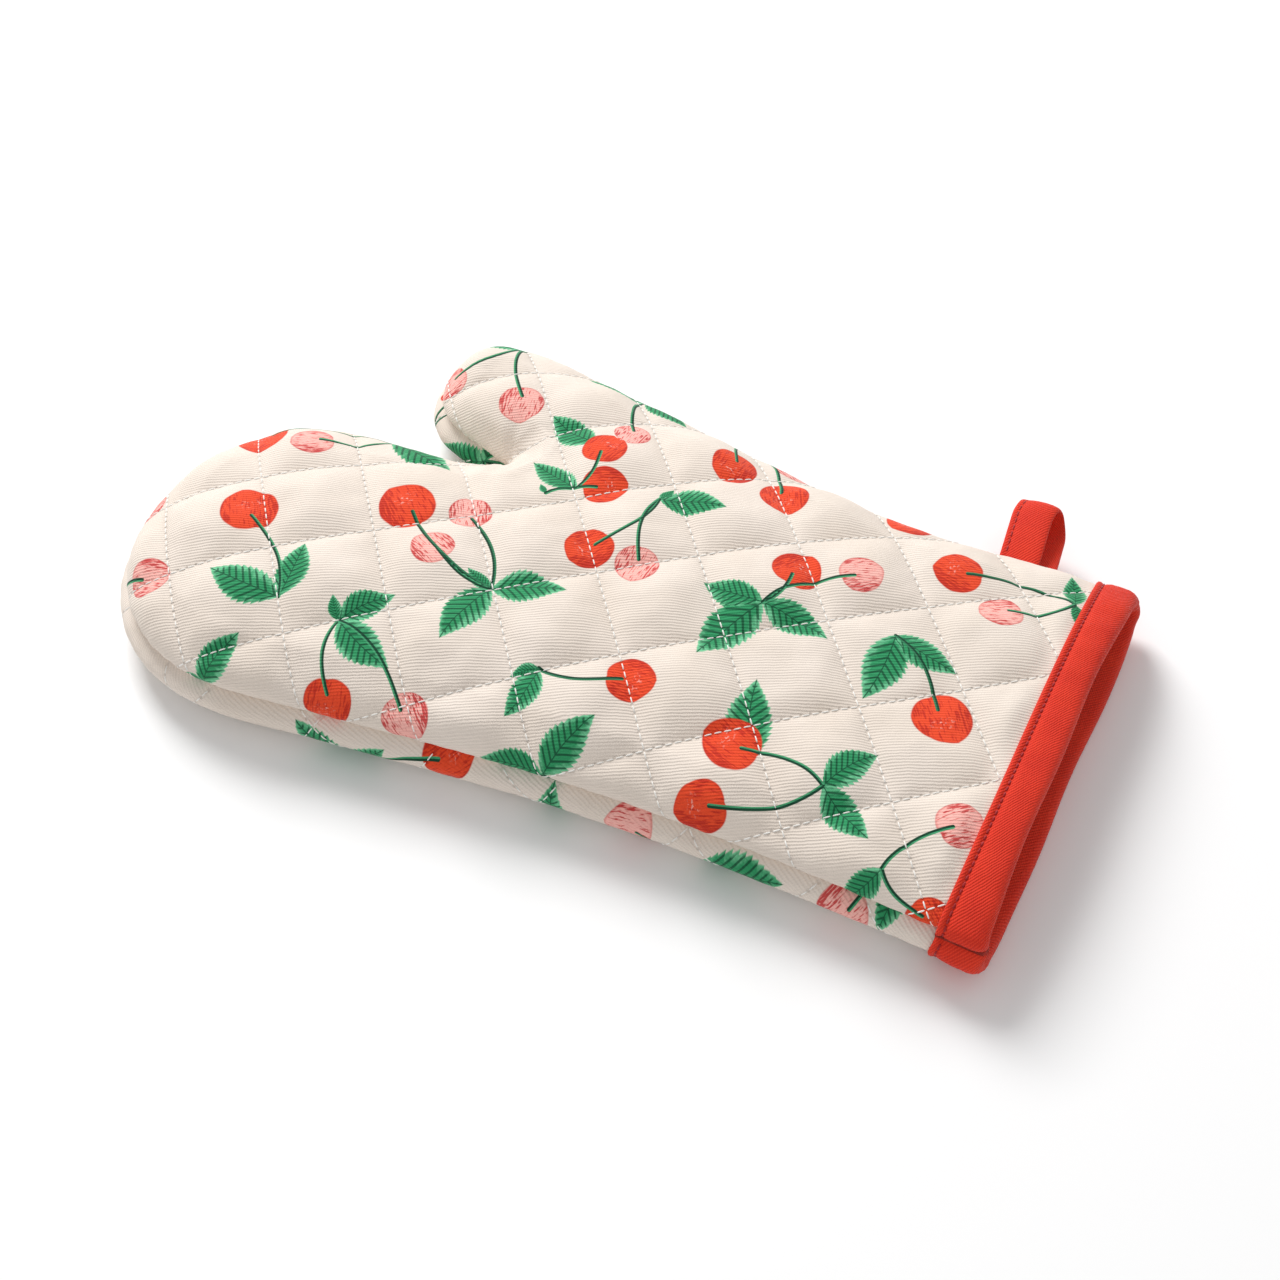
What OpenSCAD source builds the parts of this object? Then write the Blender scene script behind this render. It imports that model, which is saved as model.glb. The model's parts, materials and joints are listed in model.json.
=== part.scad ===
// Quilted oven mitt, lying palm down.
// +X runs from the fingertips to the cuff, +Y towards the thumb, +Z up.
// The origin is on the flat patch that the palm rests on.

/* [Mitt] */
// Length from the fingertips to the raw edge of the cuff
mitt_length = 326; // [300:1:350]
// Width across the hand and the thumb
mitt_width = 190; // [175:1:205]
// Height of the padded back at the middle of the hand
back_height = 38; // [34:1:42]
// Height of the back at the cuff
cuff_height = 31; // [28:1:34]
// Height of the side seam above the resting surface
seam_height = 17; // [15:1:19]

/* [Layers] */
// Thickness of the printed cotton cover
cover_thick = 0.4; // [0.3:0.1:0.6]
// Thickness of the wadding
wadding_thick = 4; // [3:0.5:5]
// Thickness of the cotton lining
lining_thick = 0.4; // [0.3:0.1:0.6]
// Width of the seam thread between the two panels
seam_gap = 0.5; // [0.4:0.1:0.8]

/* [Quilting] */
// Distance between the quilting lines
quilt_pitch = 35.5; // [30:0.5:40]
// Angle of the quilting lines to the mitt's length
quilt_angle = 40; // [30:1:50]
// Width of the thread
thread_w = 0.6; // [0.5:0.1:0.8]
// Height of the thread above the cover
thread_h = 0.25; // [0.2:0.05:0.3]

/* [Cuff binding] */
// Width of the binding on the outside and on the inside
binding_width = 14; // [12:1:16]
// Thickness of the folded binding
binding_thick = 1.2; // [1:0.1:1.5]
// How far the binding bulges past the raw edge
binding_bulge = 3; // [2:0.5:4]

/* [Hanging loop] */
// Width of the folded tape
loop_width = 19; // [16:1:22]
// How far the loop stands out from the seam
loop_reach = 29; // [25:1:32]
// Thickness of the folded tape
tape_thick = 1.6; // [1.4:0.1:1.8]
// Outer radius of the loop's round end
loop_end_r = 5; // [4.6:0.1:5.5]
// Distance of the loop's middle line from the raw edge of the cuff
loop_from_edge = 39; // [34:1:44]

/* [Folds] */
// How far the fingers fold towards the palm
finger_fold = 60; // [40:5:65]
// How far the thumb folds towards the palm
thumb_fold = 45; // [30:5:50]
// How far the fingers and the thumb bend backwards
back_bend = 10; // [5:1:12]

/* [Hidden] */

// The outline is drawn for a mitt of this size and scaled from it.
drawn_length = 326;
drawn_width = 190;
kx = mitt_length / drawn_length;
ky = mitt_width / drawn_width;

// Outline of the hand, from where the fingertips start to round off.
tip_x = -163 * kx;
nose_x = -103 * kx;
cuff_x = tip_x + mitt_length;
hand_low = [for (p = [[-103, -94], [-40, -84], [40, -72], [163, -68]]) [p[0] * kx, p[1] * ky]];
hand_high = [
  for (p = [[-103, 28], [-62, 36], [-20, 67], [7, 86.5], [22, 84.5], [45, 80.5], [90, 79.5], [125, 85], [163, 86]])
    [p[0] * kx, p[1] * ky]
];
back_line = [for (p = [[-163, 0.93], [-60, 1], [40, 1], [163, 0]])
  [p[0] * kx, cuff_height + (back_height - cuff_height) * p[1] - seam_height]];

// The palm side lifts by the binding's thickness before the cuff.
cuff_lift = binding_thick + 0.2;
lift_start = 95 * kx;
lift_run = 45 * kx;

// Thumb: a lobe from its round tip to deep inside the hand.
thumb_tip = [-79.5 * kx, 70.5 * ky];
thumb_turn = -11;
thumb_r = 24.8 * ky;
thumb_grow = 0.09;
thumb_grow_len = 68 * kx;
thumb_len = 90 * kx;
thumb_high = 33 - seam_height;

crotch = [-60 * kx, 38 * ky];
wall = cover_thick + wadding_thick + lining_thick;

// Rings: points across each half, stations along each lobe.
half_ring = 11;
cap_steps = 7;
hand_steps = 13;
thumb_steps = 7;
flat_gain = 1.04;

// Pivots of the folds.
fold_z = 19;
finger_pivot_x = -83 * kx;
thumb_fold_angle = 50;
thumb_pivot_out = 14;
fold_clear = 0.3;
big = 400;

loop_x = cuff_x - loop_from_edge;

// A smooth curve through a short list of points.
function piece(p, x, i = 0) = i == len(p) - 2 || x <= p[i + 1][0] ? i : piece(p, x, i + 1);
function slope(p, i) =
  let (a = max(i - 1, 0), b = min(i + 1, len(p) - 1)) (p[b][1] - p[a][1]) / (p[b][0] - p[a][0]);
function curve(p, x) =
  let (
    i = piece(p, x),
    h = p[i + 1][0] - p[i][0],
    t = min(1, max(0, (x - p[i][0]) / h))
  )
  (1 + 2 * t) * pow(1 - t, 2) * p[i][1] + t * pow(1 - t, 2) * h * slope(p, i)
  + t * t * (3 - 2 * t) * p[i + 1][1] - t * t * (1 - t) * h * slope(p, i + 1);

// Round end: 1 where it starts, 0 at its tip.
function round_end(d, r, power) = d <= 0 ? 1 : pow(1 - pow(min(d / r, 1), power), 1 / power);

// Cross-section: crowned above the seam, flat where it rests.
function crown(c) = sqrt(1 - pow(abs(c), 2.5));
function belly(c) = min(1, flat_gain * sqrt(1 - pow(abs(c), 3.4)));
function ring(x, y, half_w, up, down) = [
  for (i = [0:2 * half_ring - 1])
    let (c = cos(180 * i / half_ring))
      [x, y + half_w * c, seam_height + (i <= half_ring ? up * crown(c) : -down * belly(c))]
];

function palm_lift(x) =
  let (t = min(1, max(0, (x - lift_start) / lift_run))) cuff_lift * t * t * (3 - 2 * t);

function hand_ring(x, inset) =
  let (
    r = nose_x - tip_x - inset,
    d = nose_x - x,
    low = curve(hand_low, x),
    high = curve(hand_high, x),
    wide = round_end(d, r, 2.1),
    tall = round_end(d, r, 3)
  )
  ring(
    x, (low + high) / 2, ((high - low) / 2 - inset) * wide,
    (curve(back_line, x) - inset) * tall, (seam_height - palm_lift(x) - inset) * tall
  );

function thumb_ring(x, inset) =
  let (
    r = thumb_r - inset,
    wide = round_end(-x, r, 2),
    tall = round_end(-x, r, 2.6)
  )
  ring(
    x, 0, (r + thumb_grow * min(max(x, 0), thumb_grow_len)) * wide,
    (thumb_high - inset) * tall, (seam_height - inset) * tall
  );

// One closed skin over a list of rings.
module loft(rings) {
  n = len(rings[0]);
  last = len(rings) - 1;
  polyhedron(
    points = [for (r = rings) each r],
    faces = [
      [for (i = [0:n - 1]) i],
      [for (i = [0:n - 1]) last * n + n - 1 - i],
      for (s = [0:last - 1], i = [0:n - 1])
        let (j = (i + 1) % n)
          each [
            [s * n + i, s * n + n + j, s * n + j],
            [s * n + i, s * n + n + i, s * n + n + j]
          ]
    ]
  );
}

// Stations of a round end of radius r, from its tip to where it starts.
function cap_stations(r) = [for (i = [0:cap_steps - 1]) -r * cos(5 + 85 * i / cap_steps)];

module mitt_form(inset, past = 0) {
  hand_x = concat(
    [for (d = cap_stations(nose_x - tip_x - inset)) nose_x + d],
    [for (i = [0:hand_steps]) nose_x + (cuff_x - nose_x) * i / hand_steps],
    past > 0 ? [cuff_x + past] : []
  );
  thumb_x = concat(
    cap_stations(thumb_r - inset),
    [for (i = [0:thumb_steps]) thumb_len * i / thumb_steps]
  );
  loft([for (x = hand_x) hand_ring(x, inset)]);
  translate([thumb_tip[0], thumb_tip[1], 0])
    rotate(thumb_turn)
      loft([for (x = thumb_x) thumb_ring(x, inset)]);
}

// What is above (side 1) or below (side -1) the seam, clear of the seam thread.
module seam_side(side, clear = seam_gap / 2) {
  translate([-big / 2, -big / 2, side > 0 ? seam_height + clear : seam_height - clear - big])
    cube(big);
}

// The soft layers are cut as one closed mesh.
module as_mesh() {
  resize([0, 0, 0]) children();
}

module layer(outer, inner, side) {
  as_mesh()
    intersection() {
      difference() {
        mitt_form(outer);
        mitt_form(inner, 1);
      }
      seam_side(side);
    }
}

// Everything past a fold line. grow is 1 for the folding piece, -1 for what it leaves behind.
module past_fold(angle, grow) {
  palm_run = (fold_z + 5) * tan(angle / 2);
  back_run = 40 * tan(back_bend / 2);
  edge = grow * fold_clear;
  rotate([90, 0, 0])
    linear_extrude(big, center = true)
      polygon([
        [-edge, fold_z], [-edge - grow * palm_run, -5], [-big, -5],
        [-big, fold_z + 40], [-edge - grow * back_run, fold_z + 40]
      ]);
}

// The side of the gap between thumb and fingers where the thumb is.
module thumb_side() {
  translate([crotch[0], crotch[1], -big / 2])
    rotate(-7)
      translate([-big + 80, 0, 0])
        cube(big);
}

module finger_zone(grow) {
  difference() {
    translate([finger_pivot_x, 0, 0]) past_fold(finger_fold, grow);
    thumb_side();
  }
}

module thumb_zone(grow) {
  intersection() {
    translate([crotch[0], crotch[1], 0])
      rotate(thumb_fold_angle - 90)
        translate([-thumb_pivot_out, 0, 0])
          past_fold(thumb_fold, grow);
    thumb_side();
  }
}

module wadding(side, zone) {
  as_mesh()
    intersection() {
      difference() {
        mitt_form(cover_thick);
        mitt_form(cover_thick + wadding_thick, 1);
        if (zone == "hand") {
          finger_zone(-1);
          thumb_zone(-1);
        }
      }
      seam_side(side);
      if (zone == "fingers") finger_zone(1);
      if (zone == "thumb") thumb_zone(1);
    }
}

module quilting_lines() {
  reach = ceil(mitt_length / quilt_pitch / 2) + 1;
  for (turn = [0, 90], k = [-reach:reach])
    rotate(quilt_angle + turn)
      translate([-big / 2, k * quilt_pitch + (turn == 0 ? -1.5 : 3.6) - thread_w / 2, -10])
        cube([big, thread_w, 80]);
}

module quilting(side) {
  as_mesh()
    intersection() {
      difference() {
        mitt_form(-thread_h);
        mitt_form(0, 1);
      }
      quilting_lines();
      seam_side(side, 1.5);
      translate([-big + cuff_x - binding_width - 0.5, -big / 2, 1])
        cube(big);
    }
}

module back_cover() { color("linen") layer(0, cover_thick, 1); }
module palm_cover() { color("linen") layer(0, cover_thick, -1); }
module back_lining() { color("ivory") layer(cover_thick + wadding_thick, wall, 1); }
module palm_lining() { color("ivory") layer(cover_thick + wadding_thick, wall, -1); }
module back_wadding() { color("white") wadding(1, "hand"); }
module palm_wadding() { color("white") wadding(-1, "hand"); }
module back_wadding_fingers() { color("white") wadding(1, "fingers"); }
module palm_wadding_fingers() { color("white") wadding(-1, "fingers"); }
module back_wadding_thumb() { color("white") wadding(1, "thumb"); }
module palm_wadding_thumb() { color("white") wadding(-1, "thumb"); }
module back_quilting_thread() { color("snow") quilting(1); }
module palm_quilting_thread() { color("snow") quilting(-1); }

// The line of stitches that joins every layer of the two panels.
module side_seam_thread() {
  color("snow")
    as_mesh()
      intersection() {
        difference() {
          mitt_form(0.2);
          mitt_form(wall, 1);
        }
        translate([-big / 2, -big / 2, seam_height - seam_gap / 2])
          cube([big, big, seam_gap]);
      }
}

// What lies from a distance before the raw edge to beyond the mouth.
module near_cuff(before) {
  translate([cuff_x - before, -big / 2, -10]) cube([big, big, 100]);
}

module cuff_binding() {
  color("crimson")
    as_mesh()
      intersection() {
        difference() {
          mitt_form(-binding_thick, binding_bulge);
          difference() {
            mitt_form(0);
            mitt_form(wall, 1);
          }
          mitt_form(wall + binding_thick, binding_bulge + 1);
          translate([-big / 2, -big / 2, -big]) cube(big);
        }
        near_cuff(binding_width);
      }
}

module binding_topstitch() {
  stitch_line = binding_width - 2;
  color("darkred")
    as_mesh()
      intersection() {
        difference() {
          mitt_form(-binding_thick - thread_h);
          mitt_form(-binding_thick, 1);
          near_cuff(stitch_line - thread_w);
        }
        near_cuff(stitch_line);
        translate([-big / 2, -big / 2, thread_h]) cube(big);
      }
}

// Side view of the loop: a teardrop from the seam to its round end.
module loop_outline(inset) {
  root_r = tape_thick + 0.1;
  offset(delta = -inset)
    hull() {
      circle(root_r, $fn = 24);
      translate([loop_reach - root_r - loop_end_r, 0]) circle(loop_end_r, $fn = 48);
    }
}

module at_loop() {
  edge_y = curve(hand_high, loop_x);
  translate([loop_x - loop_width / 2, edge_y + fold_clear + tape_thick + 0.1, seam_height])
    rotate([90, 0, 90])
      children();
}

module hanging_loop() {
  color("crimson")
    at_loop()
      linear_extrude(loop_width)
        difference() {
          loop_outline(0);
          loop_outline(tape_thick);
        }
}

// Two rows of stitches along the tape's edges, on its outer face.
module loop_stitching() {
  color("darkred")
    for (row = [2, loop_width - 2 - thread_w])
      at_loop()
        translate([0, 0, row])
          linear_extrude(thread_w)
            intersection() {
              difference() {
                loop_outline(-thread_h);
                loop_outline(0);
              }
              translate([2, -10]) square([loop_reach, 20]);
            }
}

back_cover();
palm_cover();
back_lining();
palm_lining();
back_wadding();
palm_wadding();
back_wadding_fingers();
palm_wadding_fingers();
back_wadding_thumb();
palm_wadding_thumb();
back_quilting_thread();
palm_quilting_thread();
side_seam_thread();
cuff_binding();
binding_topstitch();
hanging_loop();
loop_stitching();
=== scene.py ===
"""The quilted oven mitt's looks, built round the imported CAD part.

Lengths in the functions are millimetres in the CAD frame; meshes are written in metres.
"""
import json
import math

import bpy
import numpy as np
from mathutils import Matrix, Vector
from mathutils.bvhtree import BVHTree
from mathutils.geometry import delaunay_2d_cdt


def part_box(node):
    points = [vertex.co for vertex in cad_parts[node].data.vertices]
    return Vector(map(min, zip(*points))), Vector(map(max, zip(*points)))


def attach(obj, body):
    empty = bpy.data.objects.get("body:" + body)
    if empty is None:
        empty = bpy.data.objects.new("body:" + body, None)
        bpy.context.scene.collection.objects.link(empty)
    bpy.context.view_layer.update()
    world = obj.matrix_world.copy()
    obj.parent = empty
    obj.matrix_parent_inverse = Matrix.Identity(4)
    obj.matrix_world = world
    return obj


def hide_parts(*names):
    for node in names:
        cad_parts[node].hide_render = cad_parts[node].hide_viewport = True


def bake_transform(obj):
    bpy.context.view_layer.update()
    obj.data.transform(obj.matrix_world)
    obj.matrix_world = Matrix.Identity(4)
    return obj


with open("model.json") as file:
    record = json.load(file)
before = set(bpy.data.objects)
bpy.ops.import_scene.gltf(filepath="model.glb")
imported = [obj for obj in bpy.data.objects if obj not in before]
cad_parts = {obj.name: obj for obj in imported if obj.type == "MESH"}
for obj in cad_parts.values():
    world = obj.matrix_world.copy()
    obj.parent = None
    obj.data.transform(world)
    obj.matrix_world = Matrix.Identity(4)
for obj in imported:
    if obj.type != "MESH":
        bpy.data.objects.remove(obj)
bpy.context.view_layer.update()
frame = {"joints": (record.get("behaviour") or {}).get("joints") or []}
MM = 0.001
RNG = np.random.default_rng(7)


# --- sizes, from the frame

def node_box(name):
    low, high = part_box(name)
    return np.array(low) / MM, np.array(high) / MM


JOINTS = {j["name"]: j for j in frame["joints"]}
BACK_LOW, BACK_TOP = node_box("back_cover")
BIND_LOW, BIND_HIGH = node_box("cuff_binding")
LOOP_LOW, LOOP_HIGH = node_box("hanging_loop")

SEAM_Z = JOINTS["loop_swing"]["pos_m"][2] / MM
CUFF_X = BACK_TOP[0]
TIP_X = BACK_LOW[0]
BACK_H = BACK_TOP[2] - SEAM_Z
BINDING_RISE = 1.6                       # how far the binding stands over the cover
CUFF_H = BIND_HIGH[2] - BINDING_RISE - SEAM_Z
BINDING_W = CUFF_X - BIND_LOW[0]
RAW_X = CUFF_X - 2.6                     # the layers' raw edge, inside the binding's fold

# Thumb fold: the line starts at the crotch, and the thumb lies on the side of THUMB_OUT.
THUMB_PIVOT = np.array(JOINTS["thumb_fold"]["pos_m"][:2]) / MM
THUMB_AXIS = -np.array(JOINTS["thumb_fold"]["axis"][:2])
THUMB_OUT = np.array([-THUMB_AXIS[1], THUMB_AXIS[0]])
THUMB_HALF_FOLD = 14.0
CROTCH = THUMB_PIVOT - THUMB_HALF_FOLD * THUMB_OUT
GAP_SIDE = np.array([math.sin(math.radians(7)), math.cos(math.radians(7))])

# Cloth
STEP = 1.5            # mesh spacing of the covers
ROLL = 16.0           # width of the edge that rolls down to the seam
CROWN = 60.0          # distance from the seam at which the back's crown is full
PALM_CROWN = 21.0     # distance from the seam at which the palm lies flat
BULGE = {1: 1.6, -1: 5.8}   # how far the back and the palm stand out over the seam
NOTCH_REACH = 22.0    # distance from the crotch at which the cloth has room to stand out fully
CREASE = 2.4          # depth of the crease at the seam
QUILT = 35.5          # distance between quilting lines
QUILT_TURN = math.radians(40)
QUILT_SHIFT = np.array([-3.6, 1.5])
PER_LINE = 11         # quilting stitches along a square's side


def smoothstep(t):
    t = np.clip(t, 0, 1)
    return t * t * (3 - 2 * t)


def unit(vectors):
    return vectors / np.linalg.norm(vectors, axis=-1, keepdims=True)


def lengths(line):
    """The length along a polyline up to each of its points."""
    return np.r_[0, np.cumsum(np.linalg.norm(np.diff(line, axis=0), axis=1))]


# --- outline of the seam

def arc(centre, radius, start, end, count, power=2.0):
    """Points round a superellipse, angles in degrees."""
    out = []
    for a in np.radians(np.linspace(start, end, count)):
        c, s = math.cos(a), math.sin(a)
        e = 2.0 / power
        out.append((centre[0] + radius[0] * math.copysign(abs(c) ** e, c),
                    centre[1] + radius[1] * math.copysign(abs(s) ** e, s)))
    return out


def smooth_through(points, step):
    """An even polyline through the points, by centripetal Catmull-Rom."""
    p = np.array(points, float)
    p = np.vstack([2 * p[0] - p[1], p, 2 * p[-1] - p[-2]])
    fine = []
    for i in range(1, len(p) - 2):
        t = [0.0]
        for k in range(3):
            t.append(t[-1] + math.sqrt(np.linalg.norm(p[i + k] - p[i + k - 1])) + 1e-9)
        u = np.linspace(t[1], t[2], 24, endpoint=False)[:, None]
        a = [(t[k + 1] - u) / (t[k + 1] - t[k]) * p[i + k - 1] + (u - t[k]) / (t[k + 1] - t[k]) * p[i + k]
             for k in range(3)]
        b = [(t[k + 2] - u) / (t[k + 2] - t[k]) * a[k] + (u - t[k]) / (t[k + 2] - t[k]) * a[k + 1]
             for k in range(2)]
        fine.append((t[2] - u) / (t[2] - t[1]) * b[0] + (u - t[1]) / (t[2] - t[1]) * b[1])
    fine.append(p[-2][None])
    return even(np.vstack(fine), step)


def even(line, step):
    """The same polyline with evenly spaced points."""
    run = lengths(line)
    count = max(2, int(round(run[-1] / step)) + 1)
    at = np.linspace(0, run[-1], count)
    return np.c_[np.interp(at, run, line[:, 0]), np.interp(at, run, line[:, 1])]


def seam_outline(step=STEP):
    """The side seam from the cuff round the fingers and the thumb, back to the cuff."""
    nose = TIP_X + 60
    hand = [(RAW_X, -68), (100, -69), (40, -72.5), (-10, -79), (-60, -87.5)]
    hand += arc((nose, -33), (60, 61), 270, 90, 11, 2.1)
    hand += [(-80, 31), tuple(CROTCH)]
    thumb = [tuple(CROTCH), (-72, 42)]
    thumb += arc((-79.5, 70.5), (24.8, 24.8), 259, 79, 9)
    thumb += [(-52, 93), (-25, 89.5), (7, 85.5), (45, 80.5), (90, 79.5), (125, 83.5), (RAW_X, 86)]
    line = np.vstack([smooth_through(hand, STEP), smooth_through(thumb, STEP)[1:]])
    near = np.linalg.norm(line - CROTCH, axis=1) < 9
    for _ in range(5):
        mid = 0.5 * line[1:-1] + 0.25 * (line[:-2] + line[2:])
        line[1:-1][near[1:-1]] = mid[near[1:-1]]
    return line if step == STEP else even(line, step)


def inward(line):
    """Unit normals that point into the mitt, square to the length at the cuff."""
    t = np.gradient(line, axis=0)
    for _ in range(4):
        t[1:-1] = 0.5 * t[1:-1] + 0.25 * (t[:-2] + t[2:])
    n = unit(np.c_[t[:, 1], -t[:, 0]])
    square = np.clip((line[:, 0] - CUFF_X + 25) / 25, 0, 1)[:, None]
    return unit(n * (1 - square) + square * np.c_[np.zeros(len(n)), -np.sign(line[:, 1])])


def distance_to(line, p):
    """Distance of each point to a polyline's segments, and where on the line it is."""
    a, b = line[:-1], line[1:]
    ab = b - a
    best = np.full(len(p), 1e9)
    foot = np.zeros(len(p))
    for k in range(0, len(p), 2000):
        q = p[k:k + 2000, None, :] - a[None]
        t = np.clip((q * ab).sum(2) / (ab * ab).sum(1), 0, 1)
        r = np.linalg.norm(q - t[..., None] * ab, axis=2)
        i = r.argmin(1)
        j = np.arange(len(i))
        best[k:k + 2000] = r[j, i]
        foot[k:k + 2000] = i + t[j, i]
    return best, foot


# --- the two panels' form

def crown_height(x):
    """Height of the back panel above the seam along the mitt."""
    mid = BACK_H - 1.5
    return mid + (CUFF_H - mid) * smoothstep((x - 20) / (CUFF_X - 20))


def palm_depth(x):
    """Depth of the palm panel below the seam: it lifts a little before the cuff."""
    return SEAM_Z - 1.5 * smoothstep((x - 95) / 45) - 0.2


def rise(d, side):
    """0 at the seam, 1 where the panel is full."""
    u = np.clip(d / (CROWN if side > 0 else PALM_CROWN), 0, 1)
    power = 2.3 if side > 0 else 3.0
    return np.sqrt(np.maximum(0, 1 - (1 - u) ** power))


def panel_z(x, d, side):
    """Height of a panel's cloth at a place along the mitt and a distance from the seam."""
    reach = crown_height(x) if side > 0 else palm_depth(x)
    return SEAM_Z + side * reach * rise(d, side)


def bulge(d, side):
    """How far the cloth stands out beyond the seam as it rolls towards it."""
    r = rise(d, side)
    return BULGE[side] * 4 * r * (1 - r) * (1 - np.clip(d / ROLL, 0, 1)) ** 2


# --- quilting

def quilt_coords(q):
    """Flat cloth coordinates in squares: whole numbers fall on the quilting lines."""
    c, s = math.cos(QUILT_TURN), math.sin(QUILT_TURN)
    u = (c * q[:, 0] + s * q[:, 1] - QUILT_SHIFT[0]) / QUILT
    v = (s * q[:, 0] - c * q[:, 1] - QUILT_SHIFT[1]) / QUILT
    return u, v


def from_quilt(u, v):
    """The flat cloth point at these quilting coordinates."""
    c, s = math.cos(QUILT_TURN), math.sin(QUILT_TURN)
    a, b = u * QUILT + QUILT_SHIFT[0], v * QUILT + QUILT_SHIFT[1]
    return np.stack([c * a + s * b, s * a - c * b], -1)


class QuiltedCloth:
    """Height of the quilted cloth above its stitching, from a cloth simulation of a flat piece.

    The stitches are pinned, the cloth between them is a little too large and is pushed up by the
    wadding, so that it puffs and puckers along the lines.
    """

    SQUARES = (11, 7)
    PER_SQUARE = 14
    FIRST = (-6, -4)
    FRAMES = 21
    SETTINGS = {"quality": 5, "mass": 0.15, "tension_stiffness": 25, "compression_stiffness": 25,
                "shear_stiffness": 12, "bending_stiffness": 0.35, "vertex_group_mass": "stitches",
                "shrink_min": -0.035, "use_pressure": True, "uniform_pressure_force": 3.0}
    TALLEST = 3.4
    DOME = 3.2

    def __init__(self, simulate):
        nx = self.SQUARES[0] * self.PER_SQUARE + 1
        ny = self.SQUARES[1] * self.PER_SQUARE + 1
        self.shape = (nx, ny)
        ix, iy = np.meshgrid(np.arange(nx), np.arange(ny), indexing="ij")
        fx, fy = (ix / self.PER_SQUARE) % 1, (iy / self.PER_SQUARE) % 1
        dome = np.sqrt(np.abs(np.sin(math.pi * fx) * np.sin(math.pi * fy)))
        self.rise = self.DOME * dome ** 1.2
        if simulate:
            self.simulate(ix, iy)

    def simulate(self, ix, iy):
        size = QUILT / self.PER_SQUARE
        flat = np.stack([ix * size, iy * size], -1).reshape(-1, 2)
        grid = np.arange(flat.shape[0]).reshape(self.shape)
        quads = np.stack([grid[:-1, :-1], grid[1:, :-1], grid[1:, 1:], grid[:-1, 1:]], -1).reshape(-1, 4)
        wobble = RNG.normal(0, 0.12, len(flat))
        start = np.c_[flat, 0.35 * self.rise.ravel() + wobble] * MM
        mesh = bpy.data.meshes.new("quilt_patch")
        mesh.from_pydata(start.tolist(), [], quads.tolist())
        patch = link_object("quilt_patch", mesh)
        on_line = (ix % self.PER_SQUARE == 0) | (iy % self.PER_SQUARE == 0)
        pins = patch.vertex_groups.new(name="stitches")
        pins.add(np.nonzero(on_line.ravel())[0].tolist(), 1.0, "REPLACE")
        cloth = patch.modifiers.new("cloth", "CLOTH").settings
        for key, value in self.SETTINGS.items():
            setattr(cloth, key, value)
        cloth.effector_weights.gravity = 0
        for f in range(1, self.FRAMES + 1):
            bpy.context.scene.frame_set(f)
        depsgraph = bpy.context.evaluated_depsgraph_get()
        done = patch.evaluated_get(depsgraph).to_mesh()
        co = np.empty(len(flat) * 3, np.float32)
        done.vertices.foreach_get("co", co)
        co = co.reshape(-1, 3) / MM
        bpy.data.objects.remove(patch)
        bpy.data.meshes.remove(mesh)
        bpy.context.scene.frame_set(1)
        folds = np.clip(co[:, 2], -0.6, self.TALLEST).reshape(self.shape)
        for _ in range(2):
            folds[1:-1, 1:-1] = (0.5 * folds[1:-1, 1:-1] + 0.125 * (
                folds[2:, 1:-1] + folds[:-2, 1:-1] + folds[1:-1, 2:] + folds[1:-1, :-2]))
        self.rise = 0.7 * self.rise + 0.55 * folds

    def height(self, q):
        """Height in mm at flat cloth points."""
        u, v = quilt_coords(q)
        wide, deep = self.SQUARES
        x = ((u - self.FIRST[0]) % wide) * self.PER_SQUARE
        y = ((v - self.FIRST[1]) % deep) * self.PER_SQUARE
        i = np.minimum(x.astype(int), self.shape[0] - 2)
        j = np.minimum(y.astype(int), self.shape[1] - 2)
        fx, fy = x - i, y - j
        r = self.rise
        return ((1 - fx) * (1 - fy) * r[i, j] + fx * (1 - fy) * r[i + 1, j]
                + (1 - fx) * fy * r[i, j + 1] + fx * fy * r[i + 1, j + 1])


# --- a panel as points and faces

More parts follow.
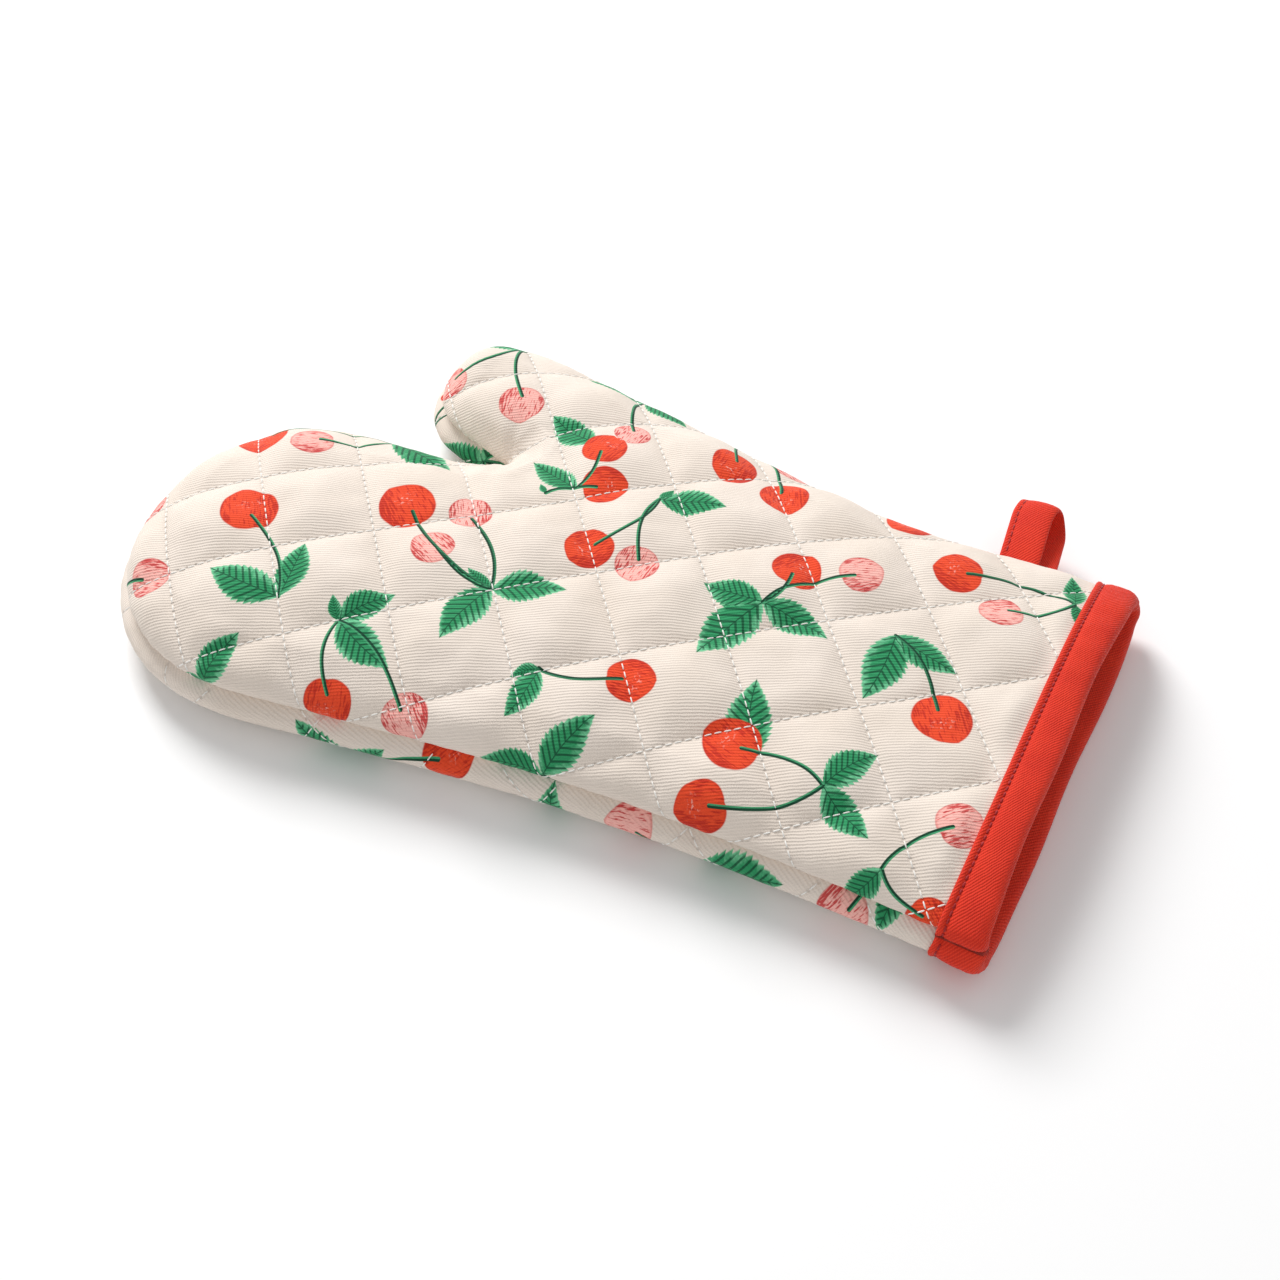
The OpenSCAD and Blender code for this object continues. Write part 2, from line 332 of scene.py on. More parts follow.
class Panel:
    """One panel's surface: flat cloth points (q), places in the mitt (co) and triangles or quads."""

    def __init__(self, side, step):
        self.side, self.step = side, step
        self.line = seam_outline(step)
        self.normal = inward(self.line)
        self.rings()
        self.fill()
        self.settle()
        self.base = self.co.copy()
        self.faces = self.faces if side > 0 else [f[::-1] for f in self.faces]
        self.base_normals = self.vertex_normals(self.base)

    def rings(self):
        """The rolled edge: rings of points from the seam inwards, evenly spaced along the cloth."""
        d = np.linspace(0, 1, 400) ** 2 * ROLL
        height = rise(d, self.side) * BACK_H
        run = np.r_[0, np.cumsum(np.hypot(np.diff(d), np.diff(height)))]
        count = int(round(run[-1] / self.step))
        self.ring_d = np.interp(np.linspace(0, run[-1], count + 1), run, d)
        n = len(self.line)
        room = np.clip(np.linalg.norm(self.line - CROTCH, axis=1) / NOTCH_REACH, 0, 1)
        inset = self.ring_d[:, None] - bulge(self.ring_d, self.side)[:, None] * room
        plan = self.line[None] + inset[..., None] * self.normal[None]
        depth = np.repeat(self.ring_d[:, None], n, 1)
        z = panel_z(plan[..., 0], depth, self.side)
        place = np.concatenate([plan, z[..., None]], -1)
        hop = np.linalg.norm(np.diff(place, axis=0), axis=2)
        left = np.vstack([np.cumsum(hop[::-1], axis=0)[::-1], np.zeros(n)])
        q = plan[-1][None] - left[..., None] * self.normal[None]
        self.ring_shape = (count + 1, n)
        self.co = place.reshape(-1, 3)
        self.q = q.reshape(-1, 2)
        self.depth = depth.ravel()
        self.from_seam = np.repeat(np.arange(count + 1) * self.step, n)
        self.along_seam = np.tile(np.arange(n) * self.step, count + 1)
        g = np.arange(len(self.co)).reshape(self.ring_shape)
        quads = np.stack([g[:-1, :-1], g[:-1, 1:], g[1:, 1:], g[1:, :-1]], -1).reshape(-1, 4)
        self.faces = [tuple(f[::-1]) for f in quads.tolist()]

    def fill(self):
        """The panel inside the rolled edge: an even field of triangles."""
        n = self.ring_shape[1]
        first = len(self.co) - n
        rim = self.co[first:, :2]
        across = int(round(np.linalg.norm(rim[0] - rim[-1]) / self.step))
        cuff = np.linspace(rim[-1], rim[0], across + 1)[1:-1]
        border = np.vstack([rim, cuff])
        low, high = rim.min(0), rim.max(0)
        s = self.step * 1.04
        xs, ys = np.arange(low[0], high[0], s * 0.866), np.arange(low[1], high[1], s)
        gx, gy = np.meshgrid(xs, ys, indexing="ij")
        gy = gy + (np.arange(len(xs)) % 2)[:, None] * s / 2
        p = np.c_[gx.ravel(), gy.ravel()]
        d, _ = distance_to(self.line, p)
        inside = (d > ROLL + 0.6 * self.step) & (p[:, 0] < RAW_X - 0.6 * self.step)
        p = p[inside & self.within(p)]
        points = np.vstack([border, p])
        loop = list(range(len(border)))
        got = delaunay_2d_cdt([Vector(v) for v in points], [], [loop], 1, 1e-5)
        if len(got[0]) != len(points):
            raise RuntimeError("the panel's border crosses itself")
        number = np.r_[np.arange(first, first + n), len(self.co) + np.arange(len(points) - n)]
        new = points[n:]
        d, _ = distance_to(self.line, new)
        self.co = np.vstack([self.co, np.c_[new, panel_z(new[:, 0], d, self.side)]])
        self.q = np.vstack([self.q, new])
        self.depth = np.r_[self.depth, d]
        for f in got[2]:
            a, b, c = number[f[0]], number[f[1]], number[f[2]]
            pa, pb, pc = self.co[a, :2], self.co[b, :2], self.co[c, :2]
            up = (pb[0] - pa[0]) * (pc[1] - pa[1]) - (pb[1] - pa[1]) * (pc[0] - pa[0])
            self.faces.append((a, b, c) if up > 0 else (a, c, b))

    def within(self, p):
        """Which points lie inside the seam, by counting crossings."""
        loop = np.vstack([self.line, self.line[:1]])
        inside = np.zeros(len(p), bool)
        for a, b in zip(loop[:-1], loop[1:]):
            cross = (a[1] > p[:, 1]) != (b[1] > p[:, 1])
            with np.errstate(divide="ignore", invalid="ignore"):
                x = a[0] + (p[:, 1] - a[1]) * (b[0] - a[0]) / (b[1] - a[1])
            inside ^= cross & (p[:, 0] < x)
        return inside

    def edges(self):
        """Each edge once, as a pair of point numbers."""
        pairs = set()
        for f in self.faces:
            for a, b in zip(f, f[1:] + f[:1]):
                pairs.add((a, b) if a < b else (b, a))
        return np.array(sorted(pairs))

    def settle(self, rounds=70):
        """Evens out the ridge that the distance to the seam leaves along the middle."""
        e = self.edges()
        count = np.bincount(e.ravel(), minlength=len(self.co))[:, None]
        free = np.clip((self.depth - 0.6 * ROLL) / ROLL, 0, 1)[:, None]
        z = self.co[:, 2:].copy()
        for _ in range(int(rounds * (1.5 / self.step) ** 2)):
            total = np.zeros_like(z)
            np.add.at(total, e[:, 0], z[e[:, 1]])
            np.add.at(total, e[:, 1], z[e[:, 0]])
            z = z + free * 0.7 * (total / count - z)
        self.co[:, 2:] = z

    def vertex_normals(self, co):
        """Normals at the points, weighted by the faces' areas."""
        normal = np.zeros_like(co)
        for size in (3, 4):
            f = np.array([x for x in self.faces if len(x) == size])
            if not len(f):
                continue
            n = np.cross(co[f[:, 1]] - co[f[:, 0]], co[f[:, -1]] - co[f[:, 0]])
            for k in range(size):
                np.add.at(normal, f[:, k], n)
        return normal / np.maximum(np.linalg.norm(normal, axis=1), 1e-9)[:, None]

    def unbulged(self):
        """Plan places without the bulge: they tell the hand's cloth from the thumb's at the notch."""
        plan = self.base[:, :2].copy()
        rolled = len(self.from_seam)
        plan[:rolled] = (self.line[None] + self.ring_d[:, None, None] * self.normal[None]).reshape(-1, 2)
        return plan

    def puff(self, cloth):
        """Raises the cloth between the quilting lines; it stays in at the seam and the cuff."""
        hold = np.clip(self.depth / 9, 0, 1) * np.clip((CUFF_X - BINDING_W + 2 - self.q[:, 0]) / 10, 0, 1)
        lift = (cloth.height(self.q) - 0.9) * smoothstep(hold)
        self.co = self.base + lift[:, None] * self.base_normals
        self.crease()
        if self.side < 0:
            self.co[:, 2] = np.maximum(self.co[:, 2], 0.0)

    def crease(self):
        """Draws the seam in between the two rolled edges, with small puckers beside it."""
        rolled = len(self.from_seam)
        s, along = self.from_seam, self.along_seam
        draw = CREASE * np.exp(-(s / 2.2) ** 1.3)
        wave = np.sin(along / 1.35 + 1.5 * np.sin(along / 9)) + 0.6 * np.sin(along / 2.9 + 2)
        draw = draw - 0.22 * wave * np.exp(-s / 6) * (1 - np.exp(-(s / 2) ** 2))
        inward_normal = np.tile(self.normal, (self.ring_shape[0], 1))
        self.co[:rolled, :2] += draw[:, None] * inward_normal
        away = self.base[:, :2] - CROTCH
        r = np.hypot(away[:, 0], away[:, 1])
        turn = np.arctan2(away[:, 1], away[:, 0])
        fold = 0.75 * np.cos(8 * turn + 0.12 * r) * np.exp(-(r / 17) ** 2) * smoothstep(r / 7)
        self.co += (fold * smoothstep(self.depth / 5))[:, None] * self.base_normals


# --- look-up on a panel

class Lookup:
    """Finds the place and the normal on a panel's surface above a flat cloth point."""

    def __init__(self, panel):
        flat = [(x, y, 0.0) for x, y in panel.q]
        self.faces = []
        for f in panel.faces:
            self.faces += [f] if len(f) == 3 else [(f[0], f[1], f[2]), (f[0], f[2], f[3])]
        self.tree = BVHTree.FromPolygons(flat, self.faces)
        self.panel = panel
        self.normals = panel.vertex_normals(panel.co)

    def at(self, q):
        hit, _, index, _ = self.tree.ray_cast(Vector((q[0], q[1], 1)), Vector((0, 0, -1)))
        if index is None:
            return None
        f = list(self.faces[index])
        a, b, c = self.panel.q[f]
        m = np.array([b - a, c - a]).T
        s, t = np.linalg.solve(m, np.array(q, float) - a)
        w = np.array([1 - s - t, s, t])
        normal = w @ self.normals[f]
        return w @ self.panel.co[f], normal / np.linalg.norm(normal)


# --- writing meshes

def link_object(name, data):
    obj = bpy.data.objects.new(name, data)
    bpy.context.scene.collection.objects.link(obj)
    return obj


def add_object(name, co, faces, material):
    """A smooth mesh object from points in mm."""
    mesh = bpy.data.meshes.new(name)
    mesh.from_pydata((np.asarray(co) * MM).tolist(), [], faces)
    mesh.update()
    mesh.polygons.foreach_set("use_smooth", [True] * len(mesh.polygons))
    mesh.materials.append(material)
    return link_object(name, mesh)


def tube_faces(rows, n, first=0, closed=False):
    """Quads between rings of n points that follow one another."""
    out = []
    for r in range(rows if closed else rows - 1):
        here, there = first + r * n, first + (r + 1) % rows * n
        out += [(here + k, here + (k + 1) % n, there + (k + 1) % n, there + k) for k in range(n)]
    return out


def shell(top, under, faces):
    """A closed skin: the faces on top, the same faces reversed underneath, and a strip round the rim."""
    n = len(top)
    count = {}
    for f in faces:
        for a, b in zip(f, f[1:] + f[:1]):
            count[(a, b)] = count.get((a, b), 0) + 1
    rim = [(a, b) for a, b in count if (b, a) not in count]
    out = list(faces) + [tuple(i + n for i in reversed(f)) for f in faces]
    out += [(b, a, a + n, b + n) for a, b in rim]
    return np.vstack([top, under]), out


def used_only(faces, *arrays):
    """Drops the points that no face uses."""
    used = np.unique(np.concatenate([np.array(f) for f in faces]))
    number = np.full(len(arrays[0]), -1)
    number[used] = np.arange(len(used))
    return [tuple(int(number[i]) for i in f) for f in faces], [a[used] for a in arrays]


def on_thumb(p):
    """Which plan points lie on the thumb's side of its fold."""
    r = p[:, :2] - CROTCH
    return (r @ THUMB_OUT > 0) & (r @ GAP_SIDE > 0)


def parts_of(faces, co):
    """The faces of the hand and those of the thumb."""
    thumb = on_thumb(co)
    hand_faces, thumb_faces = [], []
    for f in faces:
        share = sum(bool(thumb[i]) for i in f)
        (thumb_faces if share * 2 > len(f) else hand_faces).append(f)
    return {"hand": hand_faces, "thumb": thumb_faces}


def bend(obj, part):
    """Bakes the piece's place into its mesh, the same way for the hand's piece and the thumb's."""
    if part == "hand":
        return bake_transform(obj)
    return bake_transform(obj)


# --- stitches

class Stitches:
    """Short stitches of thread, each a small rounded capsule that sinks in at its ends."""

    SIDES = 6

    def __init__(self):
        self.co, self.faces, self.count = [], [], 0

    def add(self, a, b, normal, radius, sink=0.25):
        """One stitch from a to b, raised in the middle along the normal."""
        along = b - a
        length = np.linalg.norm(along)
        if length < 1e-6:
            return
        along = along / length
        side = np.cross(along, normal)
        side /= np.linalg.norm(side)
        up = np.cross(side, along)
        rows = [(0.0, 0.35, -sink), (0.14, 0.85, -0.3 * sink), (0.5, 1.0, 0.0),
                (0.86, 0.85, -0.3 * sink), (1.0, 0.35, -sink)]
        first = self.count
        for t, wide, drop in rows:
            middle = a + along * (t * length) + up * drop
            for k in range(self.SIDES):
                angle = 2 * math.pi * k / self.SIDES
                self.co.append(middle + radius * wide * (math.cos(angle) * side + math.sin(angle) * up))
        self.faces += tube_faces(len(rows), self.SIDES, first)
        last = first + (len(rows) - 1) * self.SIDES
        self.faces.append(tuple(range(first + self.SIDES - 1, first - 1, -1)))
        self.faces.append(tuple(range(last, last + self.SIDES)))
        self.count += len(rows) * self.SIDES

    def write(self, name, material):
        return add_object(name, np.array(self.co), self.faces, material)


def quilting_stitches(panel, look):
    """The stitches along the quilting lines of a panel, as one set for the hand and one for the thumb."""
    sets = {"hand": Stitches(), "thumb": Stitches()}
    reach = range(-9 * PER_LINE, 9 * PER_LINE)
    for across in range(-9, 10):
        for turn in (0, 1):
            ends = []
            for k in reach:
                for part in (0.1, 0.9):
                    t = (k + part) / PER_LINE
                    ends.append(from_quilt(t, across) if turn else from_quilt(across, t))
            ends = np.array(ends)
            places = [look.at(q) if abs(q[0]) < 185 and abs(q[1]) < 125 else None for q in ends]
            for k in range(0, len(places), 2):
                if places[k] is None or places[k + 1] is None:
                    continue
                (a, na), (b, nb) = places[k], places[k + 1]
                if not 1.0 < np.linalg.norm(b - a) < 4.5 or max(a[0], b[0]) > CUFF_X - BINDING_W + 0.6:
                    continue
                normal = na + nb
                thumb = on_thumb(0.5 * (a + b)[None])[0]
                lift = 0.10 * normal / np.linalg.norm(normal)
                sets["thumb" if thumb else "hand"].add(a + lift, b + lift, normal, STITCH_R)
    return sets


def seam_stitches(panel):
    """The stitches that show in the crease of the side seam."""
    sets = {"hand": Stitches(), "thumb": Stitches()}
    line = panel.co[:panel.ring_shape[1]]
    out = np.c_[-panel.normal, np.zeros(len(panel.normal))]
    for i in range(2, len(line) - 3, 2):
        a, b = line[i] + 0.12 * out[i], line[i + 2] + 0.12 * out[i + 2]
        if max(a[0], b[0]) > CUFF_X - BINDING_W:
            continue
        gap = 0.12 * (b - a)
        thumb = on_thumb(0.5 * (a + b)[None])[0]
        sets["thumb" if thumb else "hand"].add(a + gap, b - gap, out[i], STITCH_R, 0.3)
    return sets


# --- print

def srgb(r, g, b):
    """A colour in linear light from its sRGB values."""
    def linear(c):
        c /= 255
        return c / 12.92 if c <= 0.04045 else ((c + 0.055) / 1.055) ** 2.4
    return (linear(r), linear(g), linear(b), 1.0)


# Each sprig: the place where its stems meet, its cherries (x, y, radius, kind) and its leaves
# (angle in degrees, length), in mm on the flat cloth.
RED, PINK = 0, 1
SPRIGS = [
    ((-92, -61), [(-122, -34, 10.5, RED)], [(180, 28), (100, 23)]),
    ((-160, -82), [(-140, -71, 8, PINK)], [(120, 20)]),
    ((-172, -60), [(-166, -41, 8, PINK)], [(-62, 24)]),
    ((-102, -100), [], [(76, 23), (172, 9)]),
    ((-102, 26), [(-143, 3, 10, RED), (-123, 6, 8, PINK)], [(-14, 30)]),
    ((-30, -26), [(-75, -7, 10.5, RED), (-54, 1, 8, PINK), (-56, -21, 8, PINK)],
     [(21, 26), (-99, 27), (165, 11)]),
    ((-69, -60), [(-58, -87, 9, RED), (-32, -80, 8.5, PINK)], [(54, 21), (-18, 26), (131, 9)]),
    ((2, 36), [(-9, 4, 9, RED), (9, 5, 8, PINK)], [(15, 24), (75, 8)]),
    ((0, -47), [(29, -38, 8.5, RED)], [(-96, 20), (-138, 10)]),
    ((17, -79), [(34, -98, 9, RED), (4, -104, 8, PINK)], [(72, 26), (-171, 22), (-60, 20)]),
    ((100, -45), [(68, -44, 10, RED), (68, -67, 9, RED)], [(60, 22), (-25, 22)]),
    ((75, -46), [], [(110, 29)]),
    ((54, 9), [(58, 29, 9, RED), (78, 37, 8, PINK)], [(180, 22), (-110, 31), (-4, 25)]),
    ((98, 19), [(124, -4, 10.5, RED)], [(-90, 28), (-7, 24)]),
    ((146, 64), [(106, 57, 9, RED), (125, 47, 8, PINK)], [(-60, 12), (110, 16)]),
    ((127, -61), [(143, -38, 8, PINK), (146, -70, 8, RED)], [(-120, 18)]),
    ((12, 92), [(17, 66, 9, RED), (39, 61, 9, RED), (34, 84, 8, PINK)], [(150, 18)]),
    ((92, 100), [(81, 79, 9, RED)], [(-20, 20)]),
    ((-83, 93), [(-66, 59, 8.5, PINK), (-101, 62, 8, PINK)], [(-146, 20)]),
    ((-31, 50), [], [(158, 24)]),
    ((-27, 29), [(-26, 49, 8.5, RED)], [(166, 21)]),
    ((-35, 21), [(-18, 33, 8.5, RED)], [(140, 5)]),
    ((-30, 91), [(-22, 62, 7, PINK)], [(-175, 24), (-20, 22)]),
]
# The palm's own sprigs, along its outer edge.
PALM_EDGE = [
    ((-52, -80), [(-14, -93, 9, RED)], [(-125, 26), (-40, 22)]),
    ((18, -68), [(2, -62, 8, PINK)], [(-80, 22)]),
    ((73, -76), [(48, -80, 8.5, PINK), (80, -52, 9, RED)], [(-6, 28), (70, 20)]),
    ((136, -94), [(120, -76, 9, PINK)], [(100, 20)]),
]
PALM_SHIFT = np.array([24, -12])
STEM_HALF = 0.75
LEAF_HALF = 0.26      # a leaf's half width as a share of its length


def curve_points(a, b, bulge):
    """A stem from a to b as a polyline, bowed to one side by a share of its length."""
    a, b = np.array(a, float), np.array(b, float)
    side = np.array([a[1] - b[1], b[0] - a[0]])
    t = np.linspace(0, 1, 25)[:, None]
    bow = 4 * t * (1 - t) * (1 - 0.35 * t)
    return a + (b - a) * t + side * bulge * bow


def palm_sprigs():
    """The palm's own sprigs, and the back's turned round, apart from those on its outer edge."""
    out = list(PALM_EDGE)
    for node, cherries, leaves in SPRIGS:
        place = PALM_SHIFT - node
        if place[1] > -50:
            turned = [(PALM_SHIFT[0] - x, PALM_SHIFT[1] - y, r, kind) for x, y, r, kind in cherries]
            out.append((place, turned, [(a + 180, length) for a, length in leaves]))
    return out


class Print:
    """The cherry sprigs near each face of a panel, as shape coordinates at the faces' corners."""

    def __init__(self, sprigs):
        self.cherries, self.leaves, self.stems = [], [], []
        for number, (node, cherries, leaves) in enumerate(sprigs):
            place = np.array(node, float)
            for k, (x, y, radius, kind) in enumerate(cherries):
                centre = np.array((x, y), float)
                away = (place - centre) / np.linalg.norm(place - centre)
                seed = ((number * 5 + k * 3) % 9) / 10
                self.cherries.append((*centre, radius, math.atan2(away[1], away[0]), kind + seed))
                bulge = 0.13 if (number + k) % 2 else -0.13
                self.stems.append(curve_points(place, centre + 0.35 * radius * away, bulge))
            for k, (angle, length) in enumerate(leaves):
                seed = ((number * 7 + k * 4) % 10) / 10
                angle = math.radians(angle)
                self.leaves.append((*place, angle, length, 0.5 * (-1) ** k, seed))
        self.cherries = np.array(self.cherries)
        self.leaves = np.array(self.leaves)

    def leaf_at(self, k, p):
        """Along and across a leaf, as shares of its length."""
        x, y, angle, length, curl, seed = self.leaves[k].T
        r = p - np.stack([x, y], -1)
        c, s = np.cos(angle), np.sin(angle)
        u = (c * r[..., 0] + s * r[..., 1]) / length
        v = (c * r[..., 1] - s * r[..., 0]) / length
        return np.stack([u, v - 0.35 * curl * u * (1 - u), seed + 0 * u], -1)

    def leaf_gap(self, k, p):
        """Distance in mm from each point to a leaf's edge, below 0 inside."""
        local = self.leaf_at(k, p)
        u = np.clip(local[..., 0], 0.001, 0.999)
        half = LEAF_HALF * np.sin(math.pi * u ** 0.8)
        return (np.abs(local[..., 1]) - half + np.abs(local[..., 0] - u)) * self.leaves[k, 3]

    def cherry_at(self, k, p):
        """Across and up a cherry, as shares of its radius, and its kind."""
        x, y, radius, angle, kind = self.cherries[k].T
        r = (p - np.stack([x, y], -1)) / radius[..., None]
        c, s = np.cos(angle), np.sin(angle)
        return np.stack([s * r[..., 0] - c * r[..., 1], c * r[..., 0] + s * r[..., 1], kind + 0 * c], -1)

    def cherry_gap(self, k, p):
        """Distance in mm from each point to a cherry's edge, below 0 inside."""
        local = self.cherry_at(k, p)
        return (np.hypot(local[..., 0], local[..., 1]) - 1) * self.cherries[k, 2]

    @staticmethod
    def nearest(gap, count, p):
        """The numbers of the two shapes, out of count, that lie nearest to each point."""
        best = np.stack([gap(np.full(len(p), k), p) for k in range(count)])
        return np.argsort(best, axis=0, kind="stable")[:2]

    def layers(self, corner_q, face_of, centres):
        """Corner attributes: two leaves, one cherry and two stems for each face."""
        leaf = self.nearest(self.leaf_gap, len(self.leaves), centres)
        cherry = self.nearest(self.cherry_gap, len(self.cherries), centres)
        out = {
            "leaf_a": self.leaf_at(leaf[0][face_of], corner_q),
            "leaf_b": self.leaf_at(leaf[1][face_of], corner_q),
            "cherry": self.cherry_at(cherry[0][face_of], corner_q),
        }
        out.update(zip(("stem_a", "stem_b"), self.stem_layers(corner_q, face_of, centres)))
        return out

    def stem_layers(self, corner_q, face_of, centres):
        """Across a stem, past its end, and a number for its shade: for the two nearest stems."""
        gaps, feet = np.swapaxes([distance_to(stem, centres) for stem in self.stems], 0, 1)
        order = np.argsort(gaps, axis=0, kind="stable")[:2]
        lines = np.array(self.stems)
        tangents = unit(np.gradient(lines, axis=1))
        hop = np.linalg.norm(np.diff(lines, axis=1), axis=2)
        run = np.concatenate([np.zeros((len(lines), 1)), np.cumsum(hop, axis=1)], 1)
        for k in order:
            foot = feet[k, np.arange(len(centres))]
            i = np.minimum(foot.astype(int), lines.shape[1] - 2)
            f = (foot - i)[:, None]
            place = (1 - f) * lines[k, i] + f * lines[k, i + 1]
            tangent = unit((1 - f) * tangents[k, i] + f * tangents[k, i + 1])
            at = (1 - f[:, 0]) * run[k, i] + f[:, 0] * run[k, i + 1]
            r = corner_q - place[face_of]
            t = tangent[face_of]
            along = at[face_of] + (r * t).sum(1)
            past = np.maximum(-along, along - run[k, -1][face_of])
            across = r[:, 1] * t[:, 0] - r[:, 0] * t[:, 1]
            yield np.stack([across, past, (k[face_of] % 7) / 7], -1)


def write_cloth_data(obj, q, printed=None):
    """Stores the flat cloth place of every point, and the print's shapes, for the material."""
    def read(items, key):
        out = np.zeros(len(items), np.int32)
        items.foreach_get(key, out)
        return out

    def write(name, domain, vectors):
        layer = obj.data.attributes.new(name, "FLOAT_VECTOR", domain)
        layer.data.foreach_set("vector", vectors.astype(np.float32).ravel())

    write("cloth", "POINT", np.c_[q, np.zeros(len(q))])
    if printed is None:
        return
    size = read(obj.data.polygons, "loop_total")
    face_of = np.repeat(np.arange(len(size)), size)
    corner_q = q[read(obj.data.loops, "vertex_index")]
    centres = np.stack([np.bincount(face_of, corner_q[:, k]) / size for k in (0, 1)], -1)
    for name, local in printed.layers(corner_q, face_of, centres).items():
        write(name, "CORNER", local)


# --- shader arithmetic

def math_node(kind):
    """A method of Num that adds one Math node of this kind."""
    return lambda number, *others: number.op(kind, *others)


class Num:
    """A number in a shader: arithmetic on it adds Math nodes."""

    def __init__(self, tree, socket):
        self.tree, self.socket = tree, socket

    def op(self, kind, *others, clamp=False):
        node = self.tree.nodes.new("ShaderNodeMath")
        node.operation = kind
        node.use_clamp = clamp
        for slot, value in zip(node.inputs, (self,) + others):
            if isinstance(value, Num):
                self.tree.links.new(value.socket, slot)
            else:
                slot.default_value = value
        return Num(self.tree, node.outputs[0])

    __add__, __sub__, __mul__ = math_node("ADD"), math_node("SUBTRACT"), math_node("MULTIPLY")
    sin, abs, fract, power = (math_node(k) for k in ("SINE", "ABSOLUTE", "FRACT", "POWER"))
    over, max = math_node("GREATER_THAN"), math_node("MAXIMUM")

    def clip(self):
        return self.op("ADD", 0.0, clamp=True)

    def length_with(self, other):
        return (self * self + other * other).op("SQRT")


class Shader:
    """A material under construction round one Principled shader."""

    def __init__(self, name, **settings):
        self.mat = bpy.data.materials.new(name)
        self.mat.use_nodes = True
        self.tree = self.mat.node_tree
        self.bsdf = self.tree.nodes["Principled BSDF"]
        for key, value in settings.items():
            self.bsdf.inputs[key.replace("_", " ")].default_value = value

    def node(self, kind, **inputs):
        node = self.tree.nodes.new(kind)
        for key, value in inputs.items():
            self.feed(node.inputs[key.replace("_", " ")], value)
        return node

    def feed(self, slot, value):
        if isinstance(value, Num):
            self.tree.links.new(value.socket, slot)
        elif isinstance(value, bpy.types.NodeSocket):
            self.tree.links.new(value, slot)
        else:
            slot.default_value = value

    def attribute(self, name):
        node = self.node("ShaderNodeAttribute")
        node.attribute_name = name
        return node.outputs["Vector"]

    def split(self, vector):
        node = self.node("ShaderNodeSeparateXYZ", Vector=vector)
        return [Num(self.tree, o) for o in node.outputs]

    def join(self, x, y, z=0.0):
        return self.node("ShaderNodeCombineXYZ", X=x, Y=y, Z=z).outputs[0]

    def noise(self, vector, scale, detail=2.0, rough=0.5):
        node = self.node("ShaderNodeTexNoise", Vector=vector, Scale=scale, Detail=detail, Roughness=rough)
        return Num(self.tree, node.outputs["Fac"])

    def place(self):
        """The place in the object's own coordinates, in metres."""
        return self.node("ShaderNodeTexCoord").outputs["Object"]

    def mix(self, amount, a, b, blend="MIX"):
        """Colour a where amount is 0, colour b where it is 1."""
        node = self.tree.nodes.new("ShaderNodeMix")
        node.data_type, node.blend_type = "RGBA", blend
        for k, value in ((0, amount), (6, a), (7, b)):
            self.feed(node.inputs[k], value)
        return node.outputs[2]

    def shade(self, colour, amount):
        """The colour times a grey level."""
        return self.mix(1.0, colour, self.join(amount, amount, amount), "MULTIPLY")

    def bump(self, height, distance, strength=1.0):
        node = self.node("ShaderNodeBump", Height=height, Strength=strength, Distance=distance)
        self.tree.links.new(node.outputs[0], self.bsdf.inputs["Normal"])

    def finish(self, colour):
        self.feed(self.bsdf.inputs["Base Color"], colour)
        return self.mat


def twill(s, x, y, pitch, angle):
    """Diagonal ribs of a twill weave from 0 to 1, broken up by the crossing threads."""
    c, n = math.cos(angle), math.sin(angle)
    along, across = x * c + y * n, y * c - x * n
    wander = s.noise(s.join(along, across), 0.35, 1.0)
    rib = ((across + wander * 0.5) * (2 * math.pi / pitch)).sin()
    cross = ((along + across * 0.5) * (2 * math.pi / (0.8 * pitch))).sin()
    return rib * 0.36 + cross * 0.14 + 0.5


def leaf_layer(s, colour, name, fleck):
    u, v, seed = s.split(s.attribute(name))
    inside = u.max(0.0)
    tooth = (u * 13.0 + seed).fract() - 0.5
    half = ((inside.power(0.8) * math.pi).sin()) * (tooth * 0.17 + 1.0) * LEAF_HALF
    depth = half - v.abs()
    mask = ((depth * 60.0).clip()) * u.over(0.0) * (u * -1.0 + 1.0).over(0.0)
    rib = ((v.abs() - 0.011) * -110.0).clip()
    slant = ((u - v.abs() * 0.8 + (fleck - 0.5) * 0.02) * 10.0 + seed).fract() - 0.5
    veins = (slant.abs() * -11.0 + 2.4).clip() * ((depth - 0.02) * 30.0).clip() * 0.85
    tone = (depth * -9.0 + 1.0 + (fleck - 0.5) * 3.0 + v * 4.0 * (seed - 0.4)).clip()
    green = s.mix(tone, srgb(44, 146, 94), srgb(112, 196, 148))
    green = s.mix(rib.max(veins), green, srgb(8, 74, 48))
    return s.mix(mask, colour, green)


